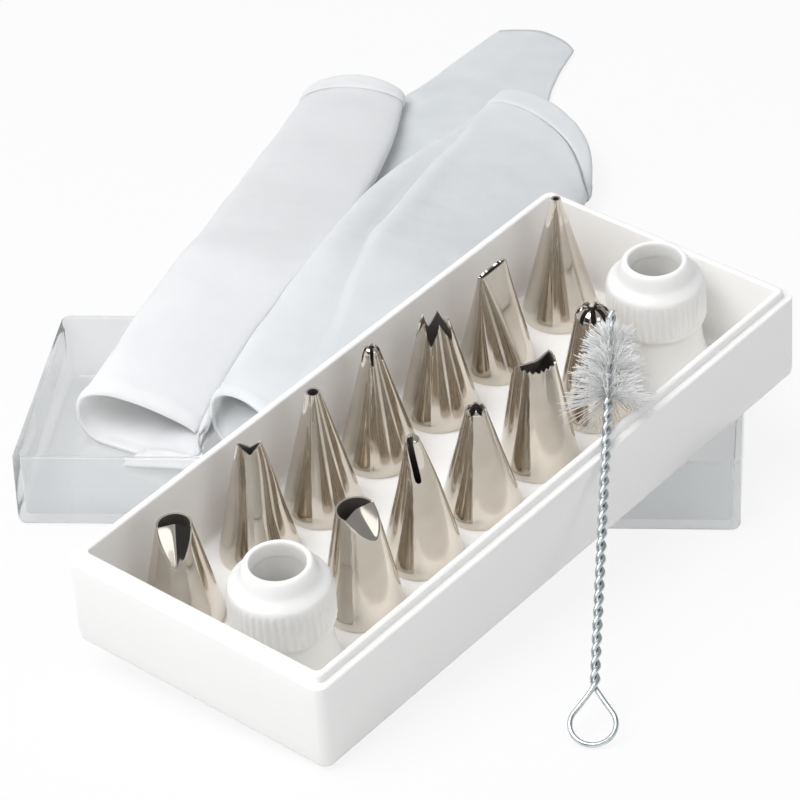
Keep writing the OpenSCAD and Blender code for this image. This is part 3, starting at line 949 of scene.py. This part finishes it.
# Folds: left edge x, y, right edge x, y, height of both edges, half thickness, bow of the middle, and how
# much thinner the right side is than the left
LEFT_FOLD = [
    (-76.5, 2.5, -47.6, -3.5, 8.7, 6.4, 5.6, 0, 0.5),
    (-66.5, 23, -38, 15, 19, 18.5, 6.2, 0, 0.4),
    (-59, 41, -25, 31, 25.6, 25.2, 6, 0, 0.3),
    (-56, 59, -20.5, 52, 24.5, 24.3, 5.2, 0, 0.3),
    (-55, 84, -21, 77.5, 18.8, 19.4, 4.6, 0, 0.3),
    (-53.5, 114, -19.5, 108, 13.2, 14, 4.2, 0, 0.3),
    (-50.5, 144, -17.5, 137.5, 9, 9.8, 4, 0, 0.3),
    (-47, 172, -16, 167, 6.4, 7, 3.8, 0, 0.3),
    (-44.5, 192, -16, 190, 5, 5.2, 3.6, 2, 0.3),
    (-43.5, 202, -16.5, 202, 4.2, 4.6, 3.4, 6, 0.3),
]
RIGHT_FOLD = [
    (-42.5, -1.5, -20, -27, 11, 8.4, 7.6, 2, 0.3),
    (-33.5, 23, 4, 10, 20, 18.4, 6.8, 0, 0.35),
    (-24.5, 38.5, 14.5, 30.5, 27.4, 24, 6.6, 0, 0.35),
    (-21, 57, 21, 47, 26.6, 23.4, 6.2, 0, 0.35),
    (-19, 84, 27, 69.5, 20.6, 17.4, 5.6, 0, 0.35),
    (-16, 113, 33, 96, 14.6, 11.6, 5.1, 0, 0.35),
    (-8, 143, 37.5, 118, 10.2, 7.8, 4.8, 0, 0.35),
    (5, 173, 39.5, 130, 7.4, 5.6, 4.6, 4, 0.35),
    (13.5, 196.5, 40.5, 137.5, 6.4, 4.8, 4.4, 9, 0.3),
]
# Back panel: left edge x, y, right edge x, y, height of both edges, and bow of the middle
BACK_PANEL = [
    (-64, -13, -44, -18, 2.9, 4.5, 0),
    (-57, 5, -42, 2, 3.5, 6, 0),
    (-47, 20, -14, 20, 10.5, 10.5, 0),
    (-45, 31, -6.5, 31, 18.8, 18.8, 0),
    (-45, 40, -4, 40, 20, 20, 0),
    (-43, 56, 3, 54, 19.2, 19.2, 0),
    (-42, 80, 8, 76, 14.2, 14.2, 0),
    (-41, 110, 13, 104, 9, 9, 0),
    (-38, 140, 18, 132, 5.2, 5.2, 0),
    (-33, 168, 26, 160, 2.8, 2.8, 0),
    (-24, 195, 28, 185, 1.4, 1.4, 0),
    (-14, 213, 26, 206, 1.3, 1.3, 0),
    (-4, 234, 27, 222, 1.3, 1.3, 0),
    (8, 258, 31, 243, 1.3, 1.3, 4),
]
CLOTH_T = 1
CLOTH_GAP = 0.1
# Back panel: thickness, deepest dip below its stations, and swell of the tongue's middle
PANEL_T = 0.7
PANEL_DIP = 0.4
PANEL_SWELL = 1.2
# Power of the round section of a fold
ROUNDNESS = 0.8
# Steps over which a fold's slope is measured, as an angle and as a share of its stations
TURN_STEP = 0.03
LENGTH_STEP = 0.005
ROW_PITCH = 1.4
RIM_RISE = 0.5
HEM_W = 7.5
HEM_RISE = 0.4
# Sewn groove beside the hem, and the stitches in it
GROOVE_OFF = 0.2
GROOVE_W = 0.5
GROOVE_DEPTH = 0.06
STITCH_L = 1.6
STITCH_PITCH = 2.3
STITCH_RISE = 0.18
STITCH_END_R = 0.1
STITCH_SWELL = 0.24
# A stitch with fewer points than this is left out
STITCH_LEAST = 5
# Slope at which the cloth comes down on both sides of the lid's back wall
WALL_SLOPE = 1.2
# The lower layer reaches further out at the mouth, most on its right: length over which that fades, and how
# much of it goes to the right
LIP_FADE = 16
LIP_SLANT = 0.3
# Inside the mouth the lower layer rises over this length, and lies flat again at the second
TUCK_RISE = 8
TUCK_END = 40
# Inner layer of each fold: start from the mouth, share of the width left free at each side, and wave
LEAF_START = 60
LEAF_SIDE = 0.08
LEAF_WAVE = 0.9
# Soft valleys across the left fold, as distances from its mouth, and their depth and width
LEFT_VALLEYS = (17, 40, 78, 129, 176, 208)
VALLEY_DEPTH = 1.3
VALLEY_W = 9
# Crease along the right fold: share of its length, direction in degrees, and depth
CREASE = [(0, 78, 0), (0.1, 88, 0.4), (0.2, 104, 0.6), (0.3, 112, 1), (0.4, 119, 1.8), (0.5, 121, 2.4),
          (0.6, 124, 2.6), (0.7, 128, 2.2), (0.8, 136, 1.2), (0.88, 155, 0), (1, 168, 0)]
CREASE_STEEP = 4
CREASE_GENTLE = 14
# Rounded edge beside the crease: share of its depth, distance and width in degrees
EDGE_SHARE = 0.25
EDGE_OFF = 11
EDGE_W = 7


def station(table, t):
    """Values on a smooth curve through the stations, t from 0 to 1."""
    last = len(table) - 1
    at = min(t, 0.99999) * last
    i = int(at)
    s = at - i
    rows = [table[min(last, max(0, j))] for j in (i - 1, i, i + 1, i + 2)]
    values = []
    for a, b, c, d in zip(*rows):
        bend = (2 * a - 5 * b + 4 * c - d) * s * s
        twist = (3 * b - a - 3 * c + d) * s * s * s
        values.append(0.5 * (2 * b + (c - a) * s + bend + twist))
    return values


def along_line(table, t):
    """Values between the two nearest rows of a table whose first column is t."""
    for low, high in zip(table, table[1:]):
        if t <= high[0]:
            s = (t - low[0]) / (high[0] - low[0])
            return [a + (b - a) * s for a, b in zip(low[1:], high[1:])]
    return table[-1][1:]


def wrinkle(p, size, depth):
    return depth * noise.fractal(p / size, 0.8, 2.1, 3)


def lying_height(y):
    """Height at which the cloth lies on the lid's floor, over its back wall and on the table behind it."""
    floor = LID_WALL if y < BOX_W / 2 else 0
    over_wall = LID_H - WALL_SLOPE * max(0, abs(y - BOX_W / 2 + LID_WALL / 2) - LID_WALL)
    return max(floor, over_wall) + CLOTH_T + CLOTH_GAP


class Fold:
    """One side of the folded bag: a flat tube of cloth through its stations, from mouth to hem."""

    def __init__(self, name, table, node, relief, lower_lip, tuck, fabric):
        self.name = name
        self.table = table
        self.node = node
        self.relief = relief
        self.lower_lip = lower_lip
        self.tuck = tuck
        self.fabric = fabric
        self.marks = [0]
        samples = 400
        middles = [self.bare(i / samples, pi / 2) for i in range(samples + 1)]
        for near, far in zip(middles, middles[1:]):
            self.marks.append(self.marks[-1] + (far - near).length)
        self.length = self.marks[-1]

    def share(self, d):
        """Share of the stations passed at a distance from the mouth."""
        i = min(len(self.marks) - 1, max(1, bisect_left(self.marks, d)))
        step = self.marks[i] - self.marks[i - 1]
        return (i - 1 + (d - self.marks[i - 1]) / step) / (len(self.marks) - 1)

    def bare(self, t, a):
        """Point of the plain section at an angle, 0 at its right edge and a quarter turn at its top."""
        xl, yl, xr, yr, zl, zr, h, bow, taper = station(self.table, t)
        half = Vector(((xr - xl) / 2, (yr - yl) / 2))
        out = bow * sin(a) ** 2 / half.length
        lift = abs(sin(a)) ** ROUNDNESS * (1 if sin(a) > 0 else -1)
        return Vector((
            (xl + xr) / 2 + half.x * cos(a) - half.y * out,
            (yl + yr) / 2 + half.y * cos(a) + half.x * out,
            (zl + zr) / 2 + (zr - zl) / 2 * cos(a) + h * (1 - taper * cos(a)) * lift,
        ))

    def normal(self, t, a):
        across = self.bare(t, a + TURN_STEP) - self.bare(t, a - TURN_STEP)
        along = self.bare(min(1, t + LENGTH_STEP), a) - self.bare(max(0, t - LENGTH_STEP), a)
        return along.cross(across).normalized()

    def trim(self, d):
        """Height of the rolled rim at the mouth and of the sewn hem at the far end."""
        e = self.length - d
        rim = RIM_RISE * smooth_step(0, 0.8, d) * smooth_step(4, 2, d)
        hem = HEM_RISE * smooth_step(0, 0.7, e) * smooth_step(HEM_W + 0.5, HEM_W - 0.3, e)
        groove = GROOVE_DEPTH * exp(-((e - HEM_W - GROOVE_OFF) / GROOVE_W) ** 2)
        return rim + hem - groove

    def skin(self, d, a):
        t = self.share(d)
        p = self.bare(t, a)
        p += self.normal(t, a) * (self.trim(d) + self.relief(p, d, t, a))
        lower = max(0, -sin(a))
        reach = self.lower_lip * smooth_step(LIP_FADE, 0, d) * sqrt(lower) * (0.5 + 0.5 * cos(a))
        p.x += LIP_SLANT * reach
        p.y -= reach
        tuck = self.tuck * smooth_step(0, TUCK_RISE, d) * smooth_step(TUCK_END, TUCK_RISE, d)
        p.z += tuck * lower ** ROUNDNESS
        p.z = max(p.z, lying_height(p.y))
        return p

    def rows(self):
        """Distances of the rows from the mouth, close together at the rim and the hem."""
        rim = [0, 0.25, 0.6, 1, 1.6, 2.2, 2.8, 3.4, 4.2]
        hem = [HEM_W + x for x in (3, 1.8, 1.1, 0.7, 0.4, 0.2, 0, -0.2, -0.5, -1, -2, -3.5, -5)]
        hem += [1.7, 1, 0.6, 0.3, 0.1, 0]
        start = rim[-1]
        end = self.length - hem[0]
        count = round((end - start) / ROW_PITCH)
        middle = [start + (end - start) * i / count for i in range(1, count)]
        return rim + middle + [self.length - e for e in hem]

    def sheet(self, columns=128):
        rows = self.rows()
        verts = []
        for d in rows:
            verts += [self.skin(d, 2 * pi * k / columns) for k in range(columns)]
        faces = strip_faces(len(rows), columns)
        leaf = [d for d in rows if d > LEAF_START]
        steps = 24
        start = len(verts)
        for d in leaf:
            right_edge = self.skin(d, 0)
            left_edge = self.skin(d, pi)
            for k in range(steps + 1):
                s = LEAF_SIDE + (1 - 2 * LEAF_SIDE) * k / steps
                p = right_edge.lerp(left_edge, s)
                p.z += LEAF_WAVE * sin(2 * pi * s)
                verts.append(p)
        faces += strip_faces(len(leaf), steps + 1, False, start)
        obj = make(self.name, verts, faces)
        wall = obj.modifiers.new("cloth", "SOLIDIFY")
        wall.thickness = CLOTH_T * MM
        wall.offset = -1
        return dress(obj, "bag", [self.node], self.fabric)

    def stitches(self):
        """Row of stitches in the groove beside the hem."""
        d = self.length - HEM_W - GROOVE_OFF
        t = self.share(d)
        samples = 720
        ring = [self.skin(d, 2 * pi * k / samples) for k in range(samples + 1)]
        verts = []
        faces = []
        walked = 0
        line = []
        for k in range(samples):
            walked += (ring[k + 1] - ring[k]).length
            if walked % STITCH_PITCH < STITCH_L:
                line.append(ring[k] + self.normal(t, 2 * pi * k / samples) * STITCH_RISE)
            elif line:
                if len(line) >= STITCH_LEAST:
                    last = len(line) - 1
                    swell = [sqrt(max(0, 1 - (2 * i / last - 1) ** 2)) for i in range(len(line))]
                    add_tube(verts, faces, line, [STITCH_END_R + STITCH_SWELL * x for x in swell], 6)
                line = []
        obj = make(self.name + "_stitches", verts, faces)
        return dress(obj, "bag", [], CLOTH)


def left_relief(p, d, t, a):
    """Soft valleys that run across the upper side, deepest on the left."""
    upper = max(0, sin(a))
    valley = sum(exp(-((d - place) / VALLEY_W) ** 2) for place in LEFT_VALLEYS)
    return upper * (wrinkle(p, size=24, depth=0.35) - VALLEY_DEPTH * valley * (0.65 - 0.35 * cos(a)))


def right_relief(p, d, t, a):
    """A crease between the rounded edge of the upper layer and the lip of the layer below."""
    direction, depth = along_line(CREASE, t)
    off = a * 180 / pi - direction
    width = CREASE_GENTLE if off > 0 else CREASE_STEEP
    edge = EDGE_SHARE * depth * exp(-((off + EDGE_OFF) / EDGE_W) ** 2)
    upper = max(0, sin(a))
    return upper * wrinkle(p, size=26, depth=0.4) + edge - depth * exp(-(off / width) ** 2)


left_fold = Fold("left_fold", LEFT_FOLD, "bag_left_fold", left_relief, lower_lip=12, tuck=0, fabric=CLOTH)
right_fold = Fold("right_fold", RIGHT_FOLD, "bag_right_fold", right_relief, lower_lip=8, tuck=9,
                  fabric=SHADED_CLOTH)
left = left_fold.sheet()
right = right_fold.sheet()
left_stitches = left_fold.stitches()
right_stitches = right_fold.stitches()


def back_sheet(columns=40, rows=120):
    """The single layer under the folds, which comes out behind them as a tongue."""
    verts = []
    for i in range(rows + 1):
        xl, yl, xr, yr, zl, zr, bow = station(BACK_PANEL, i / rows)
        chord = Vector((xr - xl, yr - yl))
        for k in range(columns + 1):
            s = k / columns
            swell = 1 - (2 * s - 1) ** 2
            out = bow * swell / chord.length
            p = Vector((
                xl + chord.x * s - chord.y * out,
                yl + chord.y * s + chord.x * out,
                zl + (zr - zl) * s,
            ))
            tongue = smooth_step(0.5, 0.9, i / rows)
            p.z += max(-PANEL_DIP, wrinkle(p, size=25, depth=0.6)) + PANEL_SWELL * swell * tongue
            verts.append(p)
    obj = make("back_panel", verts, strip_faces(rows + 1, columns + 1, False))
    wall = obj.modifiers.new("cloth", "SOLIDIFY")
    wall.thickness = PANEL_T * MM
    return dress(obj, "bag", ["bag_back_panel"], THIN_CLOTH)


back = back_sheet()


# Floor and light

# Share of plain white in what is seen of the floor, directly and through the lid. The rest keeps the shadow
FLOOR_GLOW = 0.87
FLOOR_GLOW_THROUGH = 0.62
FLOOR_SIZE = 4000
FLOOR_Z = -0.1


def floor_material():
    paint = Paint("floor_paint", Base_Color=(0.78, 0.78, 0.78, 1), Roughness=0.9)
    glow = paint.add("Emission", Strength=1.0)
    rays = paint.add("LightPath")
    seen = paint.math("MAXIMUM", rays.outputs["Is Camera Ray"], rays.outputs["Is Glossy Ray"])
    through = rays.outputs["Is Transmission Ray"]
    direct = paint.math("MULTIPLY", seen, paint.math("SUBTRACT", 1, through))
    direct_share = paint.math("MULTIPLY", direct, FLOOR_GLOW)
    through_share = paint.math("MULTIPLY", through, FLOOR_GLOW_THROUGH)
    mix = paint.add("MixShader")
    paint.link(paint.math("MAXIMUM", direct_share, through_share), mix.inputs["Fac"])
    paint.link(paint.shader.outputs["BSDF"], mix.inputs[1])
    paint.link(glow.outputs["Emission"], mix.inputs[2])
    paint.link(mix.outputs["Shader"], paint.tree.nodes["Material Output"].inputs["Surface"])
    return paint.material


def add_floor():
    corners = [(x * FLOOR_SIZE, y * FLOOR_SIZE, FLOOR_Z) for x, y in ((-1, -1), (1, -1), (1, 1), (-1, 1))]
    obj = make("floor", corners, [(0, 1, 2, 3)])
    obj.data.materials.append(floor_material())


def add_light(name, place, target, size, power):
    data = bpy.data.lights.new(name, "AREA")
    data.shape = "RECTANGLE"
    data.size, data.size_y = size
    data.energy = power
    obj = bpy.data.objects.new(name, data)
    aim = (Vector(target) - Vector(place)).to_track_quat("-Z", "Y").to_matrix().to_4x4()
    obj.matrix_world = Matrix.Translation(place) @ aim
    bpy.context.scene.collection.objects.link(obj)


add_floor()
add_light("key", place=(-0.52, -0.44, 1.25), target=(0, 0.05, 0), size=(1.1, 1.1), power=16.4)
add_light("fill", place=(0.82, -0.9, 0.58), target=(0, 0, 0), size=(0.6, 0.6), power=1.4)


def add_world():
    """A pale room, brighter on the left, with a dim patch low in front on the left."""
    world = bpy.data.worlds.new("studio")
    bpy.context.scene.world = world
    world.use_nodes = True
    tree = world.node_tree
    coords = tree.nodes.new("ShaderNodeTexCoord")

    def share(direction, low, high, values):
        """Brightness by the cosine to a direction, the first value up to low and the second from high on."""
        dot = tree.nodes.new("ShaderNodeVectorMath")
        dot.operation = "DOT_PRODUCT"
        dot.inputs[1].default_value = Vector(direction).normalized()
        tree.links.new(coords.outputs["Generated"], dot.inputs[0])
        span = tree.nodes.new("ShaderNodeMapRange")
        span.interpolation_type = "SMOOTHSTEP"
        span.inputs["From Min"].default_value = low
        span.inputs["From Max"].default_value = high
        span.inputs["To Min"].default_value, span.inputs["To Max"].default_value = values
        tree.links.new(dot.outputs["Value"], span.inputs["Value"])
        return span.outputs["Result"]

    strength = tree.nodes.new("ShaderNodeMath")
    strength.operation = "MULTIPLY"
    room = share((-1, -0.2, 0.3), low=-1, high=1, values=(0.3, 0.66))
    dim_patch = share((-0.55, -0.78, 0.3), low=0.87, high=0.95, values=(1, 0.08))
    tree.links.new(room, strength.inputs[0])
    tree.links.new(dim_patch, strength.inputs[1])
    background = tree.nodes["Background"]
    background.inputs["Color"].default_value = (0.96, 0.975, 1, 1)
    tree.links.new(strength.outputs["Value"], background.inputs["Strength"])


add_world()

bpy.context.scene.view_settings.view_transform = "Standard"
